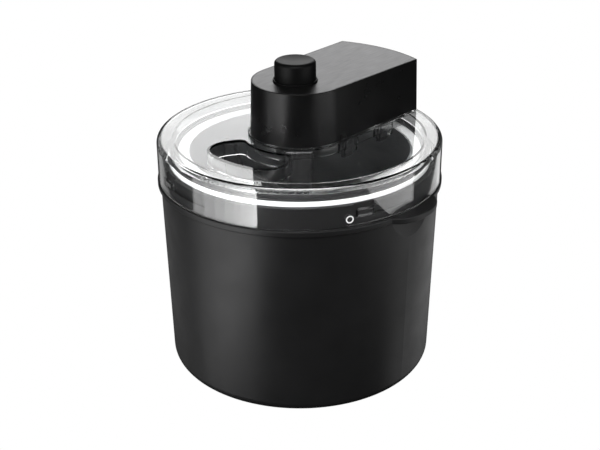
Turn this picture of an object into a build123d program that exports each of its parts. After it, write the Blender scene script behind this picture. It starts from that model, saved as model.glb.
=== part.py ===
from build123d import *
import math
import os

# Freezer-bowl ice cream maker, millimetres, +Z up.  The origin is the centre of the base, on the surface
# that the feet stand on.  The button end of the motor block points to -Y, and the grips are at -X and +X.

# Outer pot
POT_BASE_Z = 1.0
POT_BASE_R = 90.7
POT_TOP_R = 93.7
POT_EDGE_R = 6.8
POT_WALL = 2.5
POT_FLOOR = 3.0
FLANGE_Z0 = 131.0
FLANGE_Z1 = 135.2
FLANGE_R = 95.7
COLLAR_R = 91.2
COLLAR_BORE_R = 88.2
COLLAR_Z = 148.7
REST_RIB_Z = 8.0

# Grips: a half-moon tab on the flange with a hollowed wall beneath it
GRIP_TURN = 2.0
TAB_CENTRE_R = 90.0
TAB_DEPTH = 14.0
TAB_HALF_WIDTH = 23.5
SCOOP_R = 90.0
SCOOP_AXIS_R = 181.2
SCOOP_AXIS_Z = 134.5

# Bayonet between collar and lid
BAYONET_COUNT = 4
BAYONET_TURN = -23.0
LUG_ANGLE = 7.0
LUG_R = 89.9
LUG_Z0 = 140.6
LUG_Z1 = 147.5
GROOVE_R = 89.5
GROOVE_Z1 = 146.6
LOCK_TURN = 20.0

# Clear lid
LID_R = 95.0
LID_WALL = 2.2
LID_Z0 = 135.5
LID_Z1 = 163.0
LID_PLATE = 2.5
LID_EDGE_R = 3.0
LID_BORE_R = 11.0
LID_BORE_Z = 150.0
OPENING_R0 = 38.5
OPENING_R1 = 67.3
OPENING_ANGLE = -88.5
OPENING_HALF_ANGLE = 32.0
OPENING_OUTER_CORNER_R = 15.0
OPENING_INNER_CORNER_R = 5.0
CHUTE_WALL = 1.8
CHUTE_Z = 152.3
RIB_Z = 154.5
RIB_WALL = 1.6
LATCH_X = 25.0
LATCH_Y = (20.0, 58.0)
LATCH_LENGTH = 9.0
HOOK_Z = 144.8
SLEEVE_Z = 148.0
SLEEVE_WALL = 1.2
SEAT_RIM_GAP = 0.3
SEAT_RIM_WALL = 1.4
SEAT_RIM_HEIGHT = 1.8
SEAT_RIM_REACH = 89.0
PRESS_RING_R = 84.7
PRESS_RING_WALL = 1.6
MARK_ANGLE = -30.0
MARK_Z = 140.9
MARK_R = 2.5
MARK_STROKE = 0.75

# Silicone seal between the bowl's rim and the lid
SEAL_R = 87.0
SEAL_BORE_R = 81.0
SEAL_Z0 = 151.8
SEAL_BASE = 1.2
SEAL_LIP_R = 84.6
SEAL_LIP_BORE_R = 83.2
SEAL_TOP_Z = 154.5

# Freezer bowl
BOWL_Z0 = 8.3
BOWL_FOOT_R = 82.0
BOWL_SIDE_R = 84.0
BOWL_STEP_Z = 137.0
BOWL_TOP_R = 87.5
RIM_Z0 = 148.5
RIM_Z1 = 151.5
RIM_BORE_R = 75.2
LINER_R = 75.0
LINER_FLOOR_R = 71.0
LINER_FLOOR_Z = 24.0
LINER_WALL = 1.2
LINER_EDGE_R = 10.0
SHELL_WALL = 2.0
PLUG_R = 8.0

# Motor block outline: round nose about the lid's axis, sides that flare a little, back on the lid's circle
BLOCK_NOSE_R = 32.7
BLOCK_BACK_R = 92.0
BLOCK_FLARE = math.radians(1.65)
BLOCK_Z0 = 163.3
BLOCK_Z1 = 200.0
BLOCK_DRAFT = 1.8
BLOCK_WALL = 2.2
BLOCK_CORNER_R = 2.0
PLATE_RIM = 0.9
PLATE_INSET = PLATE_RIM + (BLOCK_Z1 - BLOCK_Z0) * math.tan(math.radians(BLOCK_DRAFT))
PLATE_THICK = 1.0
COVER_Z0 = 163.6
COVER_Z1 = 165.8
COVER_INSET = 2.7
COVER_BOSS_R = 10.4

# Button
BUTTON_Y = -3.9
BUTTON_R = 13.6
BUTTON_TOP_Z = 214.0
BUTTON_RIM_Z = 192.8
BUTTON_EDGE_R = 2.4
DISH_R = 11.2
DISH_DEPTH = 0.7
BEZEL_BORE_R = 13.95
BEZEL_R = 14.6
BEZEL_TUBE_R = 15.5
BEZEL_TOP_Z = 201.3

# Gear train: levels are the z ranges that the three meshes work at
PRESSURE_ANGLE = math.radians(25.0)
OUTPUT_TEETH = 48
SECOND_TEETH = 40
FIRST_TEETH = 54
PINION_TEETH = 12
OUTPUT_MODULE = 1.0
SECOND_MODULE = 0.8
FIRST_MODULE = 0.5
CENTRE_EASE = 0.12
LEVEL_1 = (167.5, 171.5)
LEVEL_2 = (172.7, 175.7)
LEVEL_3 = (176.9, 179.2)
DECK_Z0 = 179.8
DECK_Z1 = 181.2
MOTOR_Y = 58.0
MOTOR_R = 27.0
MOTOR_Z0 = 181.3
MOTOR_Z1 = 196.6
CAN_WALL = 0.8
MOTOR_SHAFT_R = 1.5
BUSH_R = 3.5
PIN_R = 1.25
RUN_GAP = 0.05
SHAFT_R = 4.0
SHAFT_Z0 = 140.0
OUTPUT_BUSH_R = 5.5
HEX_ACROSS = 7.0

# Posts and pillars inside the block
POST_SPOTS = ((26.5, 14.0), (-26.5, 14.0), (25.0, 80.0), (-25.0, 80.0))
POST_R = 3.2
PILLAR_SPOTS = ((26.0, 30.5), (-26.0, 30.5), (18.0, 83.0), (-18.0, 83.0))
PILLAR_R = 2.8
SCREW_R = 1.4

# Cord inlet, and the two leads from the terminal block to the switch
INLET_Y = 90.8
INLET_Z = 172.5
INLET_BORE_R = 3.2
INLET_R = 5.2
LEAD_R = 0.9
TERMINAL_X = (-21.5, -15.5)
TERMINAL_Y = 67.0

# Paddle
PADDLE_THICK = 4.0
PADDLE_GAP = 2.2
PADDLE_TOP_Z = 138.0
PADDLE_FOOT_Z = 27.5
HUB_R = 9.5
HUB_TOP_Z = 157.0
PIVOT_R = 3.0
PIVOT_Z = 36.0

# Feet
FOOT_COUNT = 4
FOOT_R = 7.0
FOOT_RING_R = 68.0
FOOT_HEIGHT = 3.0


def tube(outer_r, inner_r, z0, z1, x=0.0, y=0.0):
    """Ring or tube about a vertical axis."""
    face = Circle(outer_r) - Circle(inner_r)
    return Pos(x, y, z0) * extrude(face, z1 - z0)


def rod(radius, z0, z1, x=0.0, y=0.0):
    """Round bar about a vertical axis."""
    return Pos(x, y, z0) * extrude(Circle(radius), z1 - z0)


def turned(points):
    """Solid of revolution from an outline of (radius, z) points."""
    outline = make_face(Polyline(*[(r, 0, z) for r, z in points], close=True))
    return revolve(outline, Axis.Z)


def joined(pieces):
    """One shape from several that touch."""
    whole = pieces[0]
    for piece in pieces[1:]:
        whole = whole + piece
    return whole


def polar(radius, degrees):
    """Point on a circle about the origin."""
    angle = math.radians(degrees)
    return radius * math.cos(angle), radius * math.sin(angle)


def wedge(reach, middle, width):
    """Sector of a disc, as a triangle that reaches past the disc's edge."""
    first = polar(reach, middle - width / 2)
    last = polar(reach, middle + width / 2)
    return make_face(Polyline((0, 0), first, last, close=True))


def arc_block(r0, r1, middle, width, z0, z1):
    """Block between two radii over an angle."""
    face = (Circle(r1) - Circle(r0)) & wedge(2 * r1, middle, width)
    return Pos(0, 0, z0) * extrude(face, z1 - z0)


def block_outline(inset):
    """Plan of the motor block, moved inwards by an inset: its sides touch the nose's circle."""
    nose = BLOCK_NOSE_R - inset
    back = BLOCK_BACK_R - inset
    near = (nose * math.cos(BLOCK_FLARE), -nose * math.sin(BLOCK_FLARE))
    far = (near[0] + back * math.sin(BLOCK_FLARE), near[1] + back * math.cos(BLOCK_FLARE) + nose)
    sides = make_face(Polyline(near, far, (-far[0], far[1]), (-near[0], near[1]), close=True))
    return (Circle(back) & sides) + Circle(nose)


def rounded_outline(inset, corner):
    """Motor block plan with its two back corners rounded."""
    face = block_outline(inset)
    corners = [v for v in face.vertices() if v.Y > 40]
    return fillet(corners, corner)


# ---------------------------------------------------------------- outer pot


def scoop(grow):
    """Finger hollow under one tab: a wide cylinder lying across the wall."""
    cutter = Pos(SCOOP_AXIS_R, 0, SCOOP_AXIS_Z) * Rot(90, 0, 0) * Cylinder(SCOOP_R + grow, 140)
    limit = Pos(POT_TOP_R, 0, FLANGE_Z0 - 40) * Box(60, 140, 80 + 2 * grow)
    return cutter & limit


def both_grips(shape):
    """A grip feature at the +X side and its twin at the -X side."""
    return [Rot(0, 0, GRIP_TURN + side) * shape for side in (0, 180)]


def grip_tab():
    """Half-moon ledge in plan, as thick as the flange."""
    plan = Pos(TAB_CENTRE_R, 0) * Ellipse(TAB_DEPTH, TAB_HALF_WIDTH)
    tab = Pos(0, 0, FLANGE_Z0) * extrude(plan, FLANGE_Z1 - FLANGE_Z0)
    return tab - rod(COLLAR_BORE_R + 1.0, FLANGE_Z0 - 1, FLANGE_Z1 + 1)


def bayonet_angles():
    return [BAYONET_TURN + i * 360 / BAYONET_COUNT for i in range(BAYONET_COUNT)]


def outer_housing():
    pot = turned([(0, POT_BASE_Z), (POT_BASE_R, POT_BASE_Z), (POT_TOP_R, FLANGE_Z1), (0, FLANGE_Z1)])
    pot = fillet(pot.edges().filter_by(GeomType.CIRCLE).sort_by(Axis.Z)[0], POT_EDGE_R)
    for cut in both_grips(scoop(0)):
        pot = pot - cut
    flange = rod(FLANGE_R, FLANGE_Z0, FLANGE_Z1)
    ledge = joined([flange] + both_grips(grip_tab()))
    rims = ledge.edges().filter_by(lambda e: abs(e.center().Z - e.bounding_box().min.Z) < 1e-4)
    outer_rims = [e for e in rims if e.bounding_box().diagonal > 30]
    ledge = fillet(outer_rims, 0.9)
    pot = pot + ledge + rod(COLLAR_R, FLANGE_Z1 - 1, COLLAR_Z)
    floor_z = POT_BASE_Z + POT_FLOOR
    space = turned([
        (0, floor_z),
        (POT_BASE_R - POT_WALL - 4, floor_z),
        (POT_BASE_R - POT_WALL, floor_z + 4),
        (POT_TOP_R - POT_WALL - 0.2, FLANGE_Z0 - 5),
        (COLLAR_BORE_R, FLANGE_Z0 - 1),
        (COLLAR_BORE_R, COLLAR_Z + 1),
        (0, COLLAR_Z + 1),
    ])
    for cut in both_grips(scoop(POT_WALL)):
        space = space - cut
    pot = pot - space
    pot = pot + tube(62, 58, floor_z - 1, REST_RIB_Z)
    for angle in bayonet_angles():
        entry = arc_block(GROOVE_R, COLLAR_R + 2, angle, LUG_ANGLE + 2, LUG_Z0 - 0.4, COLLAR_Z + 1)
        middle = angle + LOCK_TURN / 2
        run = LUG_ANGLE + 2 + LOCK_TURN
        pot = pot - entry - arc_block(GROOVE_R, COLLAR_R + 2, middle, run, LUG_Z0 - 0.4, GROOVE_Z1)
    for x, y in foot_spots():
        pot = pot - rod(FOOT_R + 0.2, 0, FOOT_HEIGHT, x, y)
    return pot


def foot_spots():
    return [polar(FOOT_RING_R, 45 + i * 360 / FOOT_COUNT) for i in range(FOOT_COUNT)]


def rubber_feet():
    foot = rod(FOOT_R, 0, FOOT_HEIGHT)
    foot = chamfer(foot.edges().sort_by(Axis.Z)[0], 0.5)
    return Compound(children=[Pos(x, y, 0) * foot for x, y in foot_spots()])


# ---------------------------------------------------------------- freezer bowl


def bowl_liner():
    """Aluminium tub with a lip that lies on the rim ring's inner edge."""
    top = RIM_Z1 - 0.6
    outside = turned([(0, LINER_FLOOR_Z), (LINER_FLOOR_R, LINER_FLOOR_Z), (LINER_R, top), (0, top)])
    outside = fillet(outside.edges().sort_by(Axis.Z)[0], LINER_EDGE_R)
    inside = turned([
        (0, LINER_FLOOR_Z + LINER_WALL),
        (LINER_FLOOR_R - LINER_WALL, LINER_FLOOR_Z + LINER_WALL),
        (LINER_R - LINER_WALL, top + 1),
        (0, top + 1),
    ])
    inside = fillet(inside.edges().sort_by(Axis.Z)[0], LINER_EDGE_R - LINER_WALL)
    return outside - inside


def bowl_shell():
    """Plastic outside of the double-walled bowl."""
    outside = turned([
        (0, BOWL_Z0),
        (BOWL_FOOT_R, BOWL_Z0),
        (BOWL_SIDE_R, BOWL_STEP_Z),
        (BOWL_TOP_R, BOWL_STEP_Z + 4),
        (BOWL_TOP_R, RIM_Z0),
        (0, RIM_Z0),
    ])
    outside = fillet(outside.edges().filter_by(GeomType.CIRCLE).sort_by(Axis.Z)[0], 5)
    wall = SHELL_WALL
    inside = turned([
        (0, BOWL_Z0 + wall),
        (BOWL_FOOT_R - wall - 4, BOWL_Z0 + wall),
        (BOWL_FOOT_R - wall, BOWL_Z0 + wall + 4),
        (BOWL_SIDE_R - wall, BOWL_STEP_Z),
        (BOWL_TOP_R - wall, BOWL_STEP_Z + 4),
        (BOWL_TOP_R - wall, RIM_Z0 + 1),
        (0, RIM_Z0 + 1),
    ])
    return outside - inside - rod(PLUG_R, BOWL_Z0 - 1, BOWL_Z0 + wall + 1, 40, 0)


def bowl_rim():
    ring = tube(BOWL_TOP_R, RIM_BORE_R, RIM_Z0, RIM_Z1)
    top = ring.edges().filter_by(GeomType.CIRCLE).group_by(Axis.Z)[-1]
    ring = fillet(top, 0.8)
    skirt = tube(BOWL_TOP_R - SHELL_WALL - 0.2, BOWL_TOP_R - SHELL_WALL - 2.2, RIM_Z0 - 5, RIM_Z0 + 0.5)
    return ring + skirt


def coolant_gel():
    """The freezing gel between the two walls, a little clear of both."""
    gap = 0.3
    wall = SHELL_WALL + gap
    top = BOWL_STEP_Z - 2
    outside = turned([
        (0, BOWL_Z0 + wall),
        (BOWL_FOOT_R - wall - 4, BOWL_Z0 + wall),
        (BOWL_FOOT_R - wall, BOWL_Z0 + wall + 4),
        (BOWL_SIDE_R - wall, top),
        (0, top),
    ])
    inside = turned([
        (0, LINER_FLOOR_Z - gap),
        (LINER_FLOOR_R + gap, LINER_FLOOR_Z - gap),
        (LINER_R + gap, top + 15),
        (0, top + 15),
    ])
    return outside - inside - rod(PLUG_R + 2, BOWL_Z0, BOWL_Z0 + 6, 40, 0)


def fill_plug():
    cap = rod(PLUG_R - 0.1, BOWL_Z0 + 0.2, BOWL_Z0 + SHELL_WALL, 40, 0)
    flange = rod(PLUG_R + 1.5, BOWL_Z0 + SHELL_WALL, BOWL_Z0 + SHELL_WALL + 1.6, 40, 0)
    return cap + flange


def bowl_pivot():
    """Centre peg that the foot of the paddle turns on."""
    floor = LINER_FLOOR_Z + LINER_WALL
    peg = rod(PIVOT_R, floor, PIVOT_Z)
    peg = fillet(peg.edges().sort_by(Axis.Z)[-1], 1.2)
    return peg + rod(9, floor, floor + 1.2)


def lid_seal():
    """Silicone ring: a flat base on the bowl's rim and a short lip up to the lid's pressing ring."""
    base = tube(SEAL_R, SEAL_BORE_R, SEAL_Z0, SEAL_Z0 + SEAL_BASE)
    return base + tube(SEAL_LIP_R, SEAL_LIP_BORE_R, SEAL_Z0 + SEAL_BASE / 2, SEAL_TOP_Z)


# ---------------------------------------------------------------- lid


def opening_face(grow):
    """Kidney-shaped filler opening around the nose of the motor block."""
    ring = Circle(OPENING_R1) - Circle(OPENING_R0)
    face = ring & wedge(2 * OPENING_R1, OPENING_ANGLE, 2 * OPENING_HALF_ANGLE)
    corners = face.vertices().sort_by(lambda v: math.hypot(v.X, v.Y))
    face = fillet(corners[2:], OPENING_OUTER_CORNER_R)
    corners = face.vertices().sort_by(lambda v: math.hypot(v.X, v.Y))
    face = fillet(corners[:2], OPENING_INNER_CORNER_R)
    if grow > 0:
        face = offset(face, grow)
    return face


def latch_slots(grow):
    """Plan of the four latch openings under the block."""
    return [
        Pos(side * LATCH_X, y) * Rectangle(4.4 + 2 * grow, LATCH_LENGTH + 2 + 2 * grow)
        for y in LATCH_Y
        for side in (-1, 1)
    ]


def bayonet_lugs():
    """Lugs inside the skirt; their tops slope down inwards, so that they draw the lid down in the groove."""
    root = LID_R - LID_WALL + 0.5
    section = [(LUG_R, LUG_Z0), (root, LUG_Z0), (root, LUG_Z1), (LUG_R, LUG_Z1 - (root - LUG_R))]
    height = LUG_Z1 - LUG_Z0
    return [
        turned(section) & (Pos(0, 0, LUG_Z0) * extrude(wedge(2 * LID_R, angle, LUG_ANGLE), height))
        for angle in bayonet_angles()
    ]


def seat_rim():
    """Low rim on the lid that the foot of the motor block drops into; open at the back."""
    plan = block_outline(-SEAT_RIM_GAP - SEAT_RIM_WALL) - block_outline(-SEAT_RIM_GAP)
    rim = Pos(0, 0, LID_Z1 - 1) * extrude(plan & Circle(SEAT_RIM_REACH), SEAT_RIM_HEIGHT + 1)
    return chamfer(rim.edges().group_by(Axis.Z)[-1], SEAT_RIM_WALL / 3)


def clear_lid():
    outside = rod(LID_R, LID_Z0, LID_Z1)
    outside = fillet(outside.edges().sort_by(Axis.Z)[-1], LID_EDGE_R)
    plate_z = LID_Z1 - LID_PLATE
    inside = rod(LID_R - LID_WALL, LID_Z0 - 1, plate_z)
    inside = fillet(inside.edges().sort_by(Axis.Z)[-1], 1.4)
    lid = outside - inside
    lid = fillet(lid.edges().filter_by(GeomType.CIRCLE).sort_by(Axis.Z)[0:2], 0.5)
    chute = extrude(opening_face(CHUTE_WALL), LID_Z1 - CHUTE_Z - 0.4)
    collar = tube(LID_BORE_R + 2, LID_BORE_R, LID_BORE_Z, plate_z + 1)
    rib = block_outline(1.0) - block_outline(1.0 + RIB_WALL)
    rib = rib & Circle(79.0)
    ribs = Pos(0, 0, RIB_Z) * extrude(rib, plate_z + 1 - RIB_Z)
    press_ring = tube(PRESS_RING_R, PRESS_RING_R - PRESS_RING_WALL, SEAL_TOP_Z + 0.2, plate_z + 1)
    lid = lid + Pos(0, 0, CHUTE_Z) * chute + collar + ribs + press_ring + seat_rim()
    hole = Pos(0, 0, CHUTE_Z - 5) * extrude(opening_face(0), LID_Z1 - CHUTE_Z + 10)
    lid = lid - hole - rod(LID_BORE_R, LID_BORE_Z - 1, LID_Z1 + 1)
    for sleeve in latch_slots(SLEEVE_WALL):
        lid = lid + Pos(0, 0, SLEEVE_Z) * extrude(sleeve, plate_z + 1 - SLEEVE_Z)
    for slot in latch_slots(0):
        lid = lid - Pos(0, 0, SLEEVE_Z - 1) * extrude(slot, LID_Z1 - SLEEVE_Z + 2)
    return joined([lid] + bayonet_lugs())


def lock_mark():
    """Plain printed ring on the skirt, as a skin-thin piece."""
    ring = Circle(MARK_R) - Circle(MARK_R - MARK_STROKE)
    bar = Rot(0, 90, 0) * extrude(ring, LID_R + 20)
    bar = Rot(0, 0, MARK_ANGLE) * Pos(0, 0, MARK_Z) * bar
    return bar & tube(LID_R + 0.18, LID_R + 0.03, LID_Z0, LID_Z1)


# ---------------------------------------------------------------- paddle


def liner_radius(z):
    """Inside radius of the bowl at a height."""
    span = RIM_Z1 - 0.6 - LINER_FLOOR_Z
    return LINER_FLOOR_R - LINER_WALL + (LINER_R - LINER_FLOOR_R) * (z - LINER_FLOOR_Z) / span


def paddle_half():
    """One side of the paddle frame, seen from the front, with two windows."""
    low = liner_radius(PADDLE_FOOT_Z + 12) - PADDLE_GAP
    high = liner_radius(PADDLE_TOP_Z) - PADDLE_GAP
    outline = make_face(Polyline(
        (0, PADDLE_FOOT_Z),
        (low - 12, PADDLE_FOOT_Z),
        (low, PADDLE_FOOT_Z + 12),
        (high, PADDLE_TOP_Z),
        (high - 10, PADDLE_TOP_Z),
        (high - 16, 122.0),
        (0, 112.0),
        close=True,
    ))
    window = make_face(Polyline(
        (12.0, 40.0), (low - 12, 40.0), (high - 10, 112.0), (38.0, 106.0), close=True
    ))
    inner = make_face(Polyline((12.0, 56.0), (29.0, 102.0), (12.0, 99.0), close=True))
    return outline - fillet(window.vertices(), 4) - fillet(inner.vertices(), 2.5)


def mixing_paddle():
    """Two flat scraper frames on a hub, with a hexagonal socket at the top and a pivot hole at the foot."""
    half = paddle_half()
    blade = Rot(90, 0, 0) * extrude(half, PADDLE_THICK / 2, both=True)
    blades = blade + Rot(0, 0, 180) * blade
    foot = rod(HUB_R, PADDLE_FOOT_Z + 1, PADDLE_FOOT_Z + 20)
    waist = rod(HUB_R - 1.5, PADDLE_FOOT_Z, HUB_TOP_Z - 14)
    head = rod(HUB_R, HUB_TOP_Z - 22, HUB_TOP_Z)
    paddle = blades + foot + waist + head
    paddle = paddle - rod(PIVOT_R + 0.4, PADDLE_FOOT_Z - 1, PIVOT_Z + 1.5)
    socket = extrude(RegularPolygon(6.6, 6, major_radius=False), HUB_TOP_Z - SHAFT_Z0 + 6)
    return paddle - Pos(0, 0, SHAFT_Z0 - 2) * socket


def paddle_socket():
    """Hexagonal insert in the hub, which takes the output shaft."""
    sleeve = extrude(RegularPolygon(6.5, 6, major_radius=False), HUB_TOP_Z - SHAFT_Z0 + 1)
    hole = extrude(RegularPolygon(HEX_ACROSS / 2 + 0.35, 6, major_radius=False), 40)
    return Pos(0, 0, SHAFT_Z0 - 1.9) * (sleeve - Pos(0, 0, 1.4) * hole)


# ---------------------------------------------------------------- motor block casing


def motor_housing():
    height = BLOCK_Z1 - BLOCK_Z0
    outside = extrude(rounded_outline(0, BLOCK_CORNER_R), height, taper=BLOCK_DRAFT)
    outside = fillet(outside.edges().group_by(Axis.Z)[-1], 0.5)
    cavity = rounded_outline(BLOCK_WALL, BLOCK_CORNER_R)
    inside = extrude(cavity, height - PLATE_THICK - BLOCK_WALL, taper=BLOCK_DRAFT)
    shell = Pos(0, 0, BLOCK_Z0) * (outside - inside)
    recess = rounded_outline(PLATE_INSET - 0.1, 1.5)
    shell = shell - Pos(0, 0, BLOCK_Z1 - PLATE_THICK - 0.05) * extrude(recess, 5)
    ceiling = BLOCK_Z1 - PLATE_THICK - 1.0
    for x, y in POST_SPOTS:
        shell = shell + rod(POST_R, COVER_Z1 + 0.1, ceiling, x, y)
        shell = shell - rod(SCREW_R + 0.05, COVER_Z1, COVER_Z1 + 14, x, y)
    shell = shell - rod(BEZEL_TUBE_R + 0.05, 190, BLOCK_Z1 + 1, 0, BUTTON_Y)
    inlet = Pos(0, INLET_Y, INLET_Z) * Rot(90, 0, 0) * Cylinder(INLET_R + 0.05, 12)
    return shell - inlet


def top_plate():
    face = rounded_outline(PLATE_INSET, 1.4) - Pos(0, BUTTON_Y) * Circle(BEZEL_R + 0.1)
    plate = Pos(0, 0, BLOCK_Z1 - PLATE_THICK) * extrude(face, PLATE_THICK)
    top = plate.faces().sort_by(Axis.Z)[-1]
    return chamfer(top.edges(), 0.15)


def gear_spots():
    """Centres of the output gear, second gear, first gear and motor."""
    reach_2 = OUTPUT_MODULE * (OUTPUT_TEETH + PINION_TEETH) / 2 + CENTRE_EASE
    reach_1 = SECOND_MODULE * (SECOND_TEETH + PINION_TEETH) / 2 + CENTRE_EASE
    reach_0 = FIRST_MODULE * (FIRST_TEETH + PINION_TEETH) / 2 + CENTRE_EASE
    gap = MOTOR_Y - reach_2
    y = reach_2 + (reach_1**2 - reach_0**2 + gap**2) / (2 * gap)
    x = math.sqrt(reach_1**2 - (y - reach_2) ** 2)
    return (0.0, 0.0), (0.0, reach_2), (x, y), (0.0, MOTOR_Y)


def base_cover():
    cover = Pos(0, 0, COVER_Z0) * extrude(block_outline(COVER_INSET), COVER_Z1 - COVER_Z0)
    boss = rod(COVER_BOSS_R, 157.8, COVER_Z1)
    cover = cover + boss
    spots = gear_spots()
    for x, y in (spots[1], spots[2]):
        cover = cover + rod(3.2, COVER_Z0, COVER_Z1 + 1.2, x, y)
    for x, y in PILLAR_SPOTS:
        cover = cover + rod(PILLAR_R, COVER_Z0, DECK_Z0, x, y)
    for y in LATCH_Y:
        for side in (-1, 1):
            reach = COVER_Z0 + 0.6 - HOOK_Z
            tongue = Pos(side * (LATCH_X - 0.5), y, HOOK_Z + reach / 2) * Box(2.0, LATCH_LENGTH, reach)
            hook = Pos(side * (LATCH_X + 0.1), y, HOOK_Z + 1.4) * Box(3.2, LATCH_LENGTH, 2.8)
            cover = cover + tongue + hook
    for x, y in (spots[1], spots[2]):
        cover = cover - rod(PIN_R + 0.02, COVER_Z0 + 0.8, COVER_Z1 + 3, x, y)
    for x, y in PILLAR_SPOTS:
        cover = cover - rod(SCREW_R - 0.35, DECK_Z0 - 9, DECK_Z0 + 1, x, y)
    for x, y in POST_SPOTS:
        cover = cover - rod(SCREW_R + 0.25, COVER_Z0 - 1, COVER_Z1 + 1, x, y)
        cover = cover - rod(2.9, COVER_Z0 - 1, COVER_Z0 + 1.0, x, y)
    return cover - rod(OUTPUT_BUSH_R + 0.05, 150, COVER_Z1 + 1)


def base_screws():
    screw = rod(2.7, COVER_Z0 + 0.1, COVER_Z0 + 1.0) + rod(SCREW_R, COVER_Z0 + 0.5, COVER_Z1 + 10)
    slot = Pos(0, 0, COVER_Z0) * (Box(3.6, 0.8, 1.2) + Box(0.8, 3.6, 1.2))
    screw = screw - slot
    return Compound(children=[Pos(x, y, 0) * screw for x, y in POST_SPOTS])


# ---------------------------------------------------------------- gear train


def involute(angle):
    return math.tan(angle) - angle


def gear_face(teeth, module, turn):
    """Spur gear outline; turn is the angle of a tooth's middle, in radians."""
    pitch_r = teeth * module / 2
    base_r = pitch_r * math.cos(PRESSURE_ANGLE)
    tip_r = pitch_r + 0.92 * module
    root_r = pitch_r - 1.25 * module
    backlash = 0.10 + 0.06 * module
    half_pitch = math.pi / (2 * teeth) - backlash / (2 * pitch_r)
    start_r = max(base_r, root_r + 0.05 * module)
    radii = [start_r, (start_r + tip_r) / 2, tip_r]
    flank = []
    for radius in radii:
        roll = math.acos(min(1.0, base_r / radius))
        flank.append((radius, half_pitch + involute(PRESSURE_ANGLE) - involute(roll)))
    flank.insert(0, (root_r, flank[0][1] + 0.12 * module / root_r))
    points = []
    for tooth in range(teeth):
        middle = turn + tooth * 2 * math.pi / teeth
        for radius, half in flank:
            points.append((radius * math.cos(middle - half), radius * math.sin(middle - half)))
        for radius, half in reversed(flank):
            points.append((radius * math.cos(middle + half), radius * math.sin(middle + half)))
    return make_face(Polyline(*points, close=True))


def meshed_turn(turn, teeth, own_teeth, spot, own_spot):
    """Tooth angle that puts a gear in mesh with a neighbour already placed."""
    line = math.atan2(own_spot[1] - spot[1], own_spot[0] - spot[0])
    return line + math.pi + math.pi / own_teeth - teeth / own_teeth * (turn - line)


def gear_layer(teeth, module, turn, level, spot):
    return Pos(spot[0], spot[1], level[0]) * extrude(gear_face(teeth, module, turn), level[1] - level[0])


def output_gear():
    gear = gear_layer(OUTPUT_TEETH, OUTPUT_MODULE, 0.0, LEVEL_1, (0, 0))
    gear = gear + rod(7.5, LEVEL_1[0] - 0.6, LEVEL_1[1] + 5.0)
    gear = gear - tube(20.5, 9.5, LEVEL_1[1] - 1.2, LEVEL_1[1] + 1)
    for i in range(6):
        x, y = polar(15.0, 30 + 60 * i)
        gear = gear - rod(3.2, LEVEL_1[0] - 1, LEVEL_1[1] + 1, x, y)
    return gear - rod(SHAFT_R + 0.02, 160, 180)


def output_shaft():
    """Steel shaft: hexagonal end in the paddle's socket, round through its bush and the gear."""
    lower = Pos(0, 0, SHAFT_Z0) * extrude(RegularPolygon(HEX_ACROSS / 2, 6, major_radius=False), 18)
    lower = chamfer(lower.faces().sort_by(Axis.Z)[0].edges(), 0.6)
    upper = rod(SHAFT_R, 157.5, 177.0)
    neck = rod(2.5, 176.5, DECK_Z1 - 0.1)
    return lower + upper + neck


def output_bush():
    bush = tube(OUTPUT_BUSH_R, SHAFT_R + RUN_GAP, 157.9, COVER_Z1)
    return bush + tube(6.8, SHAFT_R + RUN_GAP, COVER_Z1, COVER_Z1 + 0.8)


def second_gear():
    spots = gear_spots()
    spot = spots[1]
    turn = meshed_turn(0.0, OUTPUT_TEETH, PINION_TEETH, spots[0], spot)
    pinion = gear_layer(PINION_TEETH, OUTPUT_MODULE, turn, (LEVEL_1[0], LEVEL_2[0] + 0.5), spot)
    wheel = gear_layer(SECOND_TEETH, SECOND_MODULE, 0.0, LEVEL_2, spot)
    return wheel + pinion - rod(PIN_R + RUN_GAP, 160, 182, *spot)


def first_gear():
    spots = gear_spots()
    spot = spots[2]
    turn = meshed_turn(0.0, SECOND_TEETH, PINION_TEETH, spots[1], spot)
    pinion = gear_layer(PINION_TEETH, SECOND_MODULE, turn, (LEVEL_2[0], LEVEL_3[0] + 0.5), spot)
    wheel = gear_layer(FIRST_TEETH, FIRST_MODULE, 0.0, LEVEL_3, spot)
    collar = rod(3.0, COVER_Z1 + 1.6, LEVEL_2[0] + 0.5, *spot)
    return wheel + pinion + collar - rod(PIN_R + RUN_GAP, 160, 182, *spot)


def motor_pinion():
    spots = gear_spots()
    turn = meshed_turn(0.0, FIRST_TEETH, PINION_TEETH, spots[2], spots[3])
    pinion = gear_layer(PINION_TEETH, FIRST_MODULE, turn, (LEVEL_3[0] - 0.2, LEVEL_3[1] + 0.1), spots[3])
    return pinion - rod(1.02, 170, 182, *spots[3])


def gear_pins():
    pins = [rod(PIN_R, COVER_Z0 + 0.9, DECK_Z1 - 0.1, x, y) for x, y in gear_spots()[1:3]]
    return Compound(children=pins)


def gearbox_deck():
    """Steel deck over the gears, which carries the motor and the switch."""
    face = block_outline(3.3) & (Pos(0, 36) * Rectangle(80, 102))
    for x, y in POST_SPOTS:
        face = face - Pos(x, y) * Circle(POST_R + 0.4)
    for x, y in PILLAR_SPOTS:
        face = face - Pos(x, y) * Circle(SCREW_R)
    for x, y in gear_spots()[1:3]:
        face = face - Pos(x, y) * Circle(PIN_R + 0.02)
    for x, y in motor_ear_spots():
        face = face - Pos(x, y) * Circle(1.15)
    face = face - Circle(2.5 + RUN_GAP) - Pos(0, MOTOR_Y) * Circle(BUSH_R + 0.05)
    face = face - Pos(-20.0, -1.0) * Circle(3.0)
    return Pos(0, 0, DECK_Z0) * extrude(face, DECK_Z1 - DECK_Z0)


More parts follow.
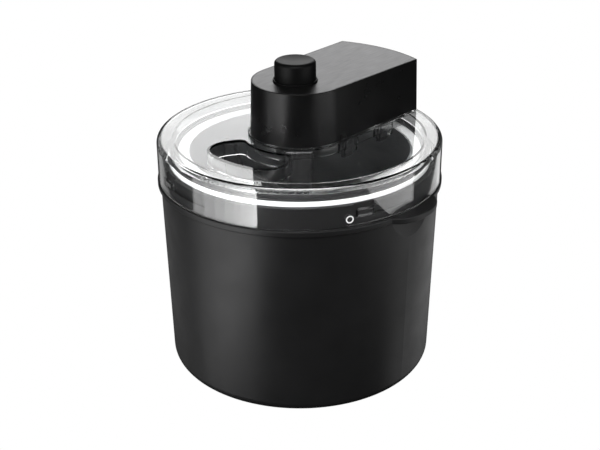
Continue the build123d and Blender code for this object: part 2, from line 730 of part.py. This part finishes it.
def small_screws(spots, z, length):
    """Pan-head screws standing on a deck, as one group."""
    screw = rod(2.1, z, z + 1.3) + rod(1.0, z - length, z + 0.5)
    screw = screw - Pos(0, 0, z + 1.3) * (Box(2.8, 0.6, 1.0) + Box(0.6, 2.8, 1.0))
    return Compound(children=[Pos(x, y, 0) * screw for x, y in spots])


def deck_screws():
    return small_screws(PILLAR_SPOTS, DECK_Z1 + 0.05, 8)


# ---------------------------------------------------------------- motor


def motor_ear_spots():
    return [(-21.2, 36.8), (21.2, 36.8)]


def motor_can():
    """Flat motor's steel can, with two ears that are screwed to the deck."""
    inside = rod(MOTOR_R - 1, MOTOR_Z0 + CAN_WALL, MOTOR_Z1 - CAN_WALL, 0, MOTOR_Y)
    can = rod(MOTOR_R, MOTOR_Z0, MOTOR_Z1, 0, MOTOR_Y) - inside
    for x, y in motor_ear_spots():
        can = can + rod(3.0, MOTOR_Z0, MOTOR_Z0 + CAN_WALL, x, y)
        can = can - rod(1.1, MOTOR_Z0 - 1, MOTOR_Z0 + 2, x, y)
    return can - rod(BUSH_R + 0.05, MOTOR_Z0 - 1, MOTOR_Z0 + 1, 0, MOTOR_Y)


def motor_screws():
    return small_screws(motor_ear_spots(), MOTOR_Z0 + 0.85, 2)


def stator_coil():
    z0 = MOTOR_Z0 + 1.2
    z1 = MOTOR_Z1 - 1.2
    bobbin = tube(25.5, 12.5, z0, z1, 0, MOTOR_Y)
    winding_space = tube(26, 14.5, z0 + 1.4, z1 - 1.4, 0, MOTOR_Y)
    winding = tube(24, 14.4, z0 + 1.3, z1 - 1.3, 0, MOTOR_Y)
    return bobbin - winding_space + winding


def motor_rotor():
    return tube(11.5, MOTOR_SHAFT_R + 0.02, MOTOR_Z0 + 3.0, MOTOR_Z1 - 2.6, 0, MOTOR_Y)


def motor_shaft():
    """Shaft through the bush, with a thinner end for the pinion."""
    upper = rod(MOTOR_SHAFT_R, LEVEL_3[1] + 0.4, MOTOR_Z1 - 1.4, 0, MOTOR_Y)
    return upper + rod(1.0, LEVEL_3[0] - 0.6, LEVEL_3[1] + 0.8, 0, MOTOR_Y)


def motor_bush():
    return tube(BUSH_R, MOTOR_SHAFT_R + RUN_GAP, DECK_Z0 + 0.1, MOTOR_Z0 + 2.2, 0, MOTOR_Y)


# ---------------------------------------------------------------- switch, button and wiring


def switch_body():
    z0 = DECK_Z1 + 0.1
    box = Pos(0, BUTTON_Y, z0 + 3.6) * Box(17, 15, 7.2)
    box = fillet(box.edges().filter_by(Axis.Z), 1.2)
    legs = [Pos(x, BUTTON_Y + 9.5, z0 + 2.0) * Box(0.8, 4.4, 2.6) for x in (-5.0, 5.0)]
    body = joined([box] + legs)
    return body - rod(3.3, z0 + 3.0, z0 + 9, 0, BUTTON_Y)


def switch_plunger():
    return rod(3.0, DECK_Z1 + 6.0, 197.9, 0, BUTTON_Y)


def start_button():
    shell = rod(BUTTON_R, BUTTON_RIM_Z, BUTTON_TOP_Z, 0, BUTTON_Y)
    shell = fillet(shell.edges().sort_by(Axis.Z)[-1], BUTTON_EDGE_R)
    flange = rod(15.0, BUTTON_RIM_Z, BUTTON_RIM_Z + 1.4, 0, BUTTON_Y)
    shell = shell + flange - rod(BUTTON_R - 2.0, BUTTON_RIM_Z - 1, BUTTON_TOP_Z - 3.2, 0, BUTTON_Y)
    ball_r = (DISH_R**2 + DISH_DEPTH**2) / (2 * DISH_DEPTH)
    dish = Pos(0, BUTTON_Y, BUTTON_TOP_Z - DISH_DEPTH + ball_r) * Sphere(ball_r)
    stem = tube(5.0, 3.05, 194.0, BUTTON_TOP_Z - 3.0, 0, BUTTON_Y)
    stem = stem - rod(3.05, 190, 198.0, 0, BUTTON_Y) + rod(4.0, 198.0, BUTTON_TOP_Z - 3.0, 0, BUTTON_Y)
    return shell + stem - dish


def button_bezel():
    tube_part = tube(BEZEL_TUBE_R, BEZEL_BORE_R, 194.6, BLOCK_Z1 - PLATE_THICK - 0.1, 0, BUTTON_Y)
    collar = tube(BEZEL_R, BEZEL_BORE_R, BLOCK_Z1 - PLATE_THICK - 1, BEZEL_TOP_Z, 0, BUTTON_Y)
    top = collar.edges().filter_by(GeomType.CIRCLE).sort_by(Axis.Z)[-2:]
    collar = fillet(top.sort_by(SortBy.LENGTH)[-1], 0.35)
    return tube_part + collar


def button_spring():
    """Coil spring between the switch body and the inside of the button."""
    z0 = DECK_Z1 + 7.9
    height = BUTTON_TOP_Z - 3.9 - z0
    path = Helix(pitch=height / 6, height=height, radius=8.0)
    wire = Plane(origin=path @ 0, z_dir=path % 0) * Circle(0.45)
    return Pos(0, BUTTON_Y, z0) * sweep(wire, path=path, is_frenet=True)


def terminal_block():
    z0 = COVER_Z1 + 0.3
    middle = sum(TERMINAL_X) / 2
    block = Pos(middle, TERMINAL_Y, z0 + 5.0) * Box(13, 13, 10)
    for x in TERMINAL_X:
        block = block - rod(1.9, z0 + 6, z0 + 12, x, TERMINAL_Y)
    return block


def terminal_screws():
    z0 = COVER_Z1 + 6.4
    screw = rod(1.7, z0, z0 + 2.4) - Pos(0, 0, z0 + 2.4) * Box(4, 0.6, 1.2)
    return Compound(children=[Pos(x, TERMINAL_Y, 0) * screw for x in TERMINAL_X])


def cord_inlet_bush():
    """Rubber bush in the back wall, where a mains lead would enter."""
    body = Pos(0, INLET_Y, INLET_Z) * Rot(90, 0, 0) * Cylinder(INLET_R, 6)
    lip = Pos(0, INLET_Y + 2.6, INLET_Z) * Rot(90, 0, 0) * Cylinder(INLET_R + 1.4, 1.6)
    bore = Pos(0, INLET_Y, INLET_Z) * Rot(90, 0, 0) * Cylinder(INLET_BORE_R, 20)
    return body + fillet(lip.edges().sort_by(Axis.Y)[-1], 0.7) - bore


def lead(points, bend):
    """Round insulated wire along straight runs with tangent bends."""
    path = FilletPolyline(*points, radius=bend)
    section = Plane(origin=path @ 0, z_dir=path % 0) * Circle(LEAD_R)
    return sweep(section, path=path)


def lead_wires():
    """The two leads from the terminal block, past the gears and up through the deck to the switch."""
    wires = []
    for z, x in ((174.2, -19.0), (177.4, -21.0)):
        wires.append(lead([
            (x + 1.0, 60.2, z),
            (x - 0.4, 38.0, z),
            (x, 16.0, z),
            (x, -1.0, z),
            (x, -1.0, z + 9.0),
            (-9.0, x + 19.0, z + 9.0),
        ], 2.0))
    return Compound(children=wires)


PIECES = {
    "outer_housing": outer_housing,
    "rubber_feet": rubber_feet,
    "bowl_liner": bowl_liner,
    "bowl_shell": bowl_shell,
    "bowl_rim": bowl_rim,
    "coolant_gel": coolant_gel,
    "fill_plug": fill_plug,
    "bowl_pivot": bowl_pivot,
    "lid_seal": lid_seal,
    "clear_lid": clear_lid,
    "lock_mark": lock_mark,
    "mixing_paddle": mixing_paddle,
    "paddle_socket": paddle_socket,
    "motor_housing": motor_housing,
    "top_plate": top_plate,
    "base_cover": base_cover,
    "base_screws": base_screws,
    "output_gear": output_gear,
    "output_shaft": output_shaft,
    "output_bush": output_bush,
    "second_gear": second_gear,
    "first_gear": first_gear,
    "motor_pinion": motor_pinion,
    "gear_pins": gear_pins,
    "gearbox_deck": gearbox_deck,
    "deck_screws": deck_screws,
    "motor_can": motor_can,
    "motor_screws": motor_screws,
    "stator_coil": stator_coil,
    "motor_rotor": motor_rotor,
    "motor_shaft": motor_shaft,
    "motor_bush": motor_bush,
    "switch_body": switch_body,
    "switch_plunger": switch_plunger,
    "start_button": start_button,
    "button_bezel": button_bezel,
    "button_spring": button_spring,
    "terminal_block": terminal_block,
    "terminal_screws": terminal_screws,
    "cord_inlet_bush": cord_inlet_bush,
    "lead_wires": lead_wires,
}

os.makedirs("parts", exist_ok=True)
for name, make in PIECES.items():
    export_step(make(), f"parts/{name}.step")
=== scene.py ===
import math

import bpy
from mathutils import Matrix, Vector

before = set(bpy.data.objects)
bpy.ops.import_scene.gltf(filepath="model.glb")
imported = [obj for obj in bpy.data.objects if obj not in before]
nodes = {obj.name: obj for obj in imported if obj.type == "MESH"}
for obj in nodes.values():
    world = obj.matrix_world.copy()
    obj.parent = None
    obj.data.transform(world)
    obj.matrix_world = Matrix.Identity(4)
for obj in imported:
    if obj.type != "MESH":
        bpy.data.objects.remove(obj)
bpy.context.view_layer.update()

# Metres, +Z up.  The studio is laid out about the camera: +X to its right, +Y away from it.  The object
# stands turned by STUDIO_TURN about Z in that studio, so that the button end of the motor block points to
# the left front.
STUDIO_TURN = math.radians(41.5)
CAMERA_PLACE = Vector((0.0, -0.7181, 0.4398))
CAMERA_PITCH = math.radians(-25.71)
CAMERA_ROLL = math.radians(-0.33)
LENS_MM = 69.0
SENSOR_MM = 36.0
CLIP_START = 0.01

# Floor, just below the feet, and the brightness of the world in reflections and through clear plastic
FLOOR_REACH = 3.0
FLOOR_Z = -0.0002
WORLD_FILL = 0.04
WORLD_THROUGH = 0.3

# Lamps.  The brightness of each is its radiance, as a mirror would show it.
SIDE_BOX_X = 0.29
SIDE_BOX_TOP = 0.30
LOW_BOX_TOP = 0.02
LOW_BOX_FAR = 0.45
LOW_BOX_BOTTOM = -0.20
LEFT_NEAR = -0.48
LEFT_FAR = -0.05
LEFT_BOTTOM = -0.15
LEFT_STRIPS = 8
LEFT_BRIGHT = 8.2
LEFT_FAINT = 1.9
LAMP_AIM = (0.0, 0.0, 0.16)

ACRYLIC_IOR = 1.49

studio = Matrix.Rotation(STUDIO_TURN, 4, "Z")


# ---------------------------------------------------------------- node trees


class Graph:
    """Empty node tree of a world or a material, with short calls that add and join nodes."""

    def __init__(self, owner):
        owner.use_nodes = True
        self.tree = owner.node_tree
        self.tree.nodes.clear()

    def node(self, kind):
        return self.tree.nodes.new("ShaderNode" + kind)

    def link(self, source, target):
        self.tree.links.new(source, target)

    def mixed(self, factor, first, second):
        """Blend of two shaders: the first at a factor of 0, the second at 1."""
        mix = self.node("MixShader")
        self.link(factor, mix.inputs[0])
        self.link(first, mix.inputs[1])
        self.link(second, mix.inputs[2])
        return mix.outputs[0]


# ---------------------------------------------------------------- camera, floor and world


def make_camera():
    data = bpy.data.cameras.new("camera")
    data.lens = LENS_MM
    data.sensor_width = SENSOR_MM
    data.clip_start = CLIP_START
    camera = bpy.data.objects.new("camera", data)
    bpy.context.scene.collection.objects.link(camera)
    tilt = Matrix.Rotation(math.radians(90.0) + CAMERA_PITCH, 4, "X")
    roll = Matrix.Rotation(CAMERA_ROLL, 4, "Z")
    camera.matrix_world = studio @ Matrix.Translation(CAMERA_PLACE) @ tilt @ roll
    bpy.context.scene.camera = camera


def make_floor():
    """Plain white floor that shows to the camera only, and not in reflections or through the lid."""
    signs = ((-1, -1), (1, -1), (1, 1), (-1, 1))
    corners = [(x * FLOOR_REACH, y * FLOOR_REACH, FLOOR_Z) for x, y in signs]
    mesh = bpy.data.meshes.new("floor")
    mesh.from_pydata(corners, [], [(0, 1, 2, 3)])
    floor = bpy.data.objects.new("floor", mesh)
    bpy.context.scene.collection.objects.link(floor)
    material = bpy.data.materials.new("floor_white")
    graph = Graph(material)
    glow = graph.node("Emission")
    glow.inputs["Color"].default_value = (1, 1, 1, 1)
    glow.inputs["Strength"].default_value = 1.0
    graph.link(glow.outputs[0], graph.node("OutputMaterial").inputs["Surface"])
    mesh.materials.append(material)
    floor.visible_glossy = False
    floor.visible_diffuse = False
    floor.visible_transmission = False


def white_background(graph):
    background = graph.node("Background")
    background.inputs["Color"].default_value = (1, 1, 1, 1)
    return background


def make_world():
    """White behind the object, grey through clear plastic, and nearly dark in reflections."""
    world = bpy.data.worlds.new("studio_world")
    bpy.context.scene.world = world
    graph = Graph(world)
    path = graph.node("LightPath")

    # a ray that has passed through clear plastic and has not been reflected on its way
    unreflected = graph.node("Math")
    unreflected.operation = "LESS_THAN"
    unreflected.inputs[1].default_value = 0.5
    graph.link(path.outputs["Glossy Depth"], unreflected.inputs[0])
    through = graph.node("Math")
    through.operation = "MULTIPLY"
    graph.link(path.outputs["Is Transmission Ray"], through.inputs[0])
    graph.link(unreflected.outputs[0], through.inputs[1])
    seen = graph.node("Math")
    seen.operation = "MAXIMUM"
    graph.link(path.outputs["Is Camera Ray"], seen.inputs[0])
    graph.link(through.outputs[0], seen.inputs[1])

    level = graph.node("MapRange")
    level.inputs["To Min"].default_value = WORLD_THROUGH
    level.inputs["To Max"].default_value = 1.0
    graph.link(path.outputs["Is Camera Ray"], level.inputs["Value"])
    bright = white_background(graph)
    graph.link(level.outputs[0], bright.inputs["Strength"])
    dim = white_background(graph)
    dim.inputs["Strength"].default_value = WORLD_FILL
    surface = graph.mixed(seen.outputs[0], dim.outputs[0], bright.outputs[0])
    graph.link(surface, graph.node("OutputWorld").inputs["Surface"])


# ---------------------------------------------------------------- lamps


def softbox(name, middle, toward, width, height, radiance):
    """Soft rectangular lamp, placed in studio coordinates."""
    data = bpy.data.lights.new(name, "AREA")
    data.shape = "RECTANGLE"
    data.size = width
    data.size_y = height
    data.energy = radiance * math.pi * width * height
    lamp = bpy.data.objects.new(name, data)
    bpy.context.scene.collection.objects.link(lamp)
    middle = Vector(middle)
    facing = (Vector(toward) - middle).to_track_quat("-Z", "Y").to_matrix().to_4x4()
    lamp.matrix_world = studio @ Matrix.Translation(middle) @ facing
    lamp.visible_camera = False


def side_box(name, side, near, far, low, high, radiance):
    """Upright panel at one side of the object, from near to far along the studio's Y."""
    middle = (side * SIDE_BOX_X, (near + far) / 2, (low + high) / 2)
    softbox(name, middle, (0.0, middle[1], middle[2]), far - near, high - low, radiance)


def make_lights():
    """Panels at both sides, and two large raised ones.  Reflections don't show the floor, so the left
    strips and the two low panels go on below it."""
    step = (LEFT_FAR - LEFT_NEAR) / LEFT_STRIPS
    for i in range(LEFT_STRIPS):
        near = LEFT_NEAR + i * step
        radiance = LEFT_BRIGHT + (LEFT_FAINT - LEFT_BRIGHT) * i / (LEFT_STRIPS - 1)
        side_box(f"left_strip_{i}", -1, near, near + step, LEFT_BOTTOM, SIDE_BOX_TOP, radiance)
    side_box("right_panel", 1, -0.44, -0.02, 0.025, SIDE_BOX_TOP, 1.9)
    side_box("left_low", -1, 0.00, LOW_BOX_FAR, LOW_BOX_BOTTOM, LOW_BOX_TOP, 0.3)
    side_box("right_low", 1, -0.10, LOW_BOX_FAR, LOW_BOX_BOTTOM, LOW_BOX_TOP, 0.75)
    softbox("back_panel", (0.0, 0.70, 0.47), LAMP_AIM, 0.56, 0.36, 2.3)
    softbox("front_panel", (0.0, -0.80, 0.90), LAMP_AIM, 1.0, 0.60, 5.2)


# ---------------------------------------------------------------- materials


class Finish(Graph):
    """Material built about one Principled shader."""

    def __init__(self, name):
        self.material = bpy.data.materials.new(name)
        super().__init__(self.material)
        self.out = self.node("OutputMaterial")
        self.shader = self.node("BsdfPrincipled")
        self.link(self.shader.outputs[0], self.out.inputs["Surface"])
        self.where = self.node("TexCoord").outputs["Object"]

    def set(self, **values):
        for key, value in values.items():
            self.shader.inputs[key.replace("_", " ")].default_value = value
        return self

    def noise(self, scale, detail=2.0, stretch=None):
        texture = self.node("TexNoise")
        texture.inputs["Scale"].default_value = scale
        texture.inputs["Detail"].default_value = detail
        source = self.where
        if stretch:
            mapping = self.node("Mapping")
            mapping.inputs["Scale"].default_value = stretch
            self.link(self.where, mapping.inputs["Vector"])
            source = mapping.outputs[0]
        self.link(source, texture.inputs["Vector"])
        return texture.outputs["Fac"]

    def remap(self, source, low, high):
        """Spreads the middle of a noise, where nearly all its values lie, over a new range."""
        scaler = self.node("MapRange")
        scaler.inputs["From Min"].default_value = 0.3
        scaler.inputs["From Max"].default_value = 0.7
        scaler.inputs["To Min"].default_value = low
        scaler.inputs["To Max"].default_value = high
        self.link(source, scaler.inputs["Value"])
        return scaler.outputs[0]

    def colours(self, source, low, high):
        mix = self.node("Mix")
        mix.data_type = "RGBA"
        mix.inputs[6].default_value = (*low, 1)
        mix.inputs[7].default_value = (*high, 1)
        self.link(self.remap(source, 0.0, 1.0), mix.inputs[0])
        self.link(mix.outputs[2], self.shader.inputs["Base Color"])

    def rough(self, source, low, high):
        self.link(self.remap(source, low, high), self.shader.inputs["Roughness"])

    def bump(self, source, strength, distance):
        bump = self.node("Bump")
        bump.inputs["Strength"].default_value = strength
        bump.inputs["Distance"].default_value = distance
        self.link(source, bump.inputs["Height"])
        self.link(bump.outputs[0], self.shader.inputs["Normal"])


def moulded(name, colour, roughness, grain=1800.0, depth=0.00004, spread=0.04):
    """Moulded plastic or rubber: fine spark-eroded grain and slow changes of tone and gloss."""
    finish = Finish(name)
    lighter = [min(1.0, c * 1.25 + 0.001) for c in colour]
    finish.colours(finish.noise(scale=22.0, detail=3.0), colour, lighter)
    finish.rough(finish.noise(scale=60.0, detail=4.0), roughness - spread, roughness + spread)
    finish.bump(finish.noise(grain), strength=0.35, distance=depth)
    return finish


def metal(name, colour, roughness, stretch, grain=400.0):
    """Metal with a directional grain."""
    finish = Finish(name)
    finish.set(Metallic=1.0)
    lines = finish.noise(grain, detail=3.0, stretch=stretch)
    finish.colours(lines, [c * 0.88 for c in colour], colour)
    finish.rough(lines, roughness - 0.05, roughness + 0.06)
    finish.bump(lines, strength=0.12, distance=0.00005)
    return finish


def clear_plastic(name, tint):
    """Clear polished plastic that lets lamp light through to what is behind it."""
    finish = Finish(name)
    finish.set(Base_Color=(*tint, 1), Transmission_Weight=1.0, IOR=ACRYLIC_IOR)
    finish.rough(finish.noise(scale=35.0, detail=4.0), 0.0, 0.03)
    shadow = finish.node("LightPath").outputs["Is Shadow Ray"]
    passing = finish.node("BsdfTransparent").outputs[0]
    finish.link(finish.mixed(shadow, finish.shader.outputs[0], passing), finish.out.inputs["Surface"])
    return finish


def dress(finish, *names):
    """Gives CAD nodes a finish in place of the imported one."""
    for name in names:
        for slot in nodes[name].material_slots:
            slot.material = finish.material


def dress_casings():
    """The outer parts, and the bowl, seal and paddle below the lid."""
    pot_black = moulded("pot_black", (0.0065, 0.0065, 0.0067), 0.40).set(Specular_IOR_Level=0.19)
    dress(pot_black, "outer_housing")
    block_black = moulded("block_black", (0.0018, 0.0018, 0.0019), 0.30).set(Specular_IOR_Level=0.17)
    dress(block_black, "motor_housing")
    button_black = moulded("button_black", (0.0018, 0.0018, 0.0019), 0.42).set(Specular_IOR_Level=0.08)
    dress(button_black, "start_button", "button_bezel")
    dress(clear_plastic("lid_clear", (0.985, 0.99, 0.99)), "clear_lid")
    dress(metal("plate_satin", (0.095, 0.095, 0.097), 0.38, (1.0, 0.08, 1.0), 900.0), "top_plate")
    dress(metal("liner_satin", (0.60, 0.61, 0.62), 0.34, (0.15, 0.15, 1.0), 300.0), "bowl_liner")
    dress(moulded("bowl_white", (0.82, 0.83, 0.83), 0.35, 900.0), "bowl_rim")
    dress(moulded("bowl_grey", (0.20, 0.204, 0.208), 0.35, 900.0), "bowl_shell", "fill_plug")
    dress(moulded("seal_dark", (0.02, 0.02, 0.021), 0.5, 700.0), "lid_seal")
    dress(moulded("mark_ink", (0.80, 0.80, 0.80), 0.5, 2500.0), "lock_mark")
    paddle_dark = moulded("paddle_dark", (0.03, 0.03, 0.031), 0.42, 900.0)
    dress(paddle_dark, "mixing_paddle", "paddle_socket", "bowl_pivot")
    rubber_black = moulded("rubber_black", (0.012, 0.012, 0.012), 0.75, 1200.0, 0.0001)
    dress(rubber_black, "rubber_feet", "cord_inlet_bush")


def dress_mechanism():
    """What is inside: gel, gears, motor, switch, wiring, base cover and fasteners."""
    dress(moulded("inner_dark", (0.02, 0.02, 0.021), 0.5), "base_cover", "switch_body")
    dress(moulded("gel_blue", (0.35, 0.5, 0.6), 0.4, 200.0), "coolant_gel")
    dress(moulded("acetal", (0.68, 0.67, 0.62), 0.35, 900.0), "output_gear", "second_gear", "first_gear")
    dress(moulded("switch_pale", (0.65, 0.65, 0.62), 0.45, 900.0), "switch_plunger", "terminal_block")
    dress(moulded("wire_blue", (0.05, 0.12, 0.35), 0.4, 900.0), "lead_wires")
    steel = metal("plated_steel", (0.55, 0.55, 0.56), 0.28, (1.0, 1.0, 0.2))
    dress(steel, "base_screws", "deck_screws", "motor_screws", "output_shaft", "motor_shaft", "gear_pins")
    dress(steel, "gearbox_deck", "motor_can", "button_spring")
    brass = metal("turned_brass", (0.62, 0.46, 0.2), 0.3, (1.0, 1.0, 0.3))
    dress(brass, "output_bush", "motor_pinion", "motor_bush", "terminal_screws")
    dress(metal("copper_wire", (0.5, 0.22, 0.1), 0.35, (0.3, 0.3, 2.0), 900.0), "stator_coil")
    dress(moulded("ferrite", (0.05, 0.05, 0.055), 0.6, 700.0), "motor_rotor")


bpy.context.scene.view_settings.view_transform = "Standard"
make_camera()
make_floor()
make_world()
make_lights()
dress_casings()
dress_mechanism()
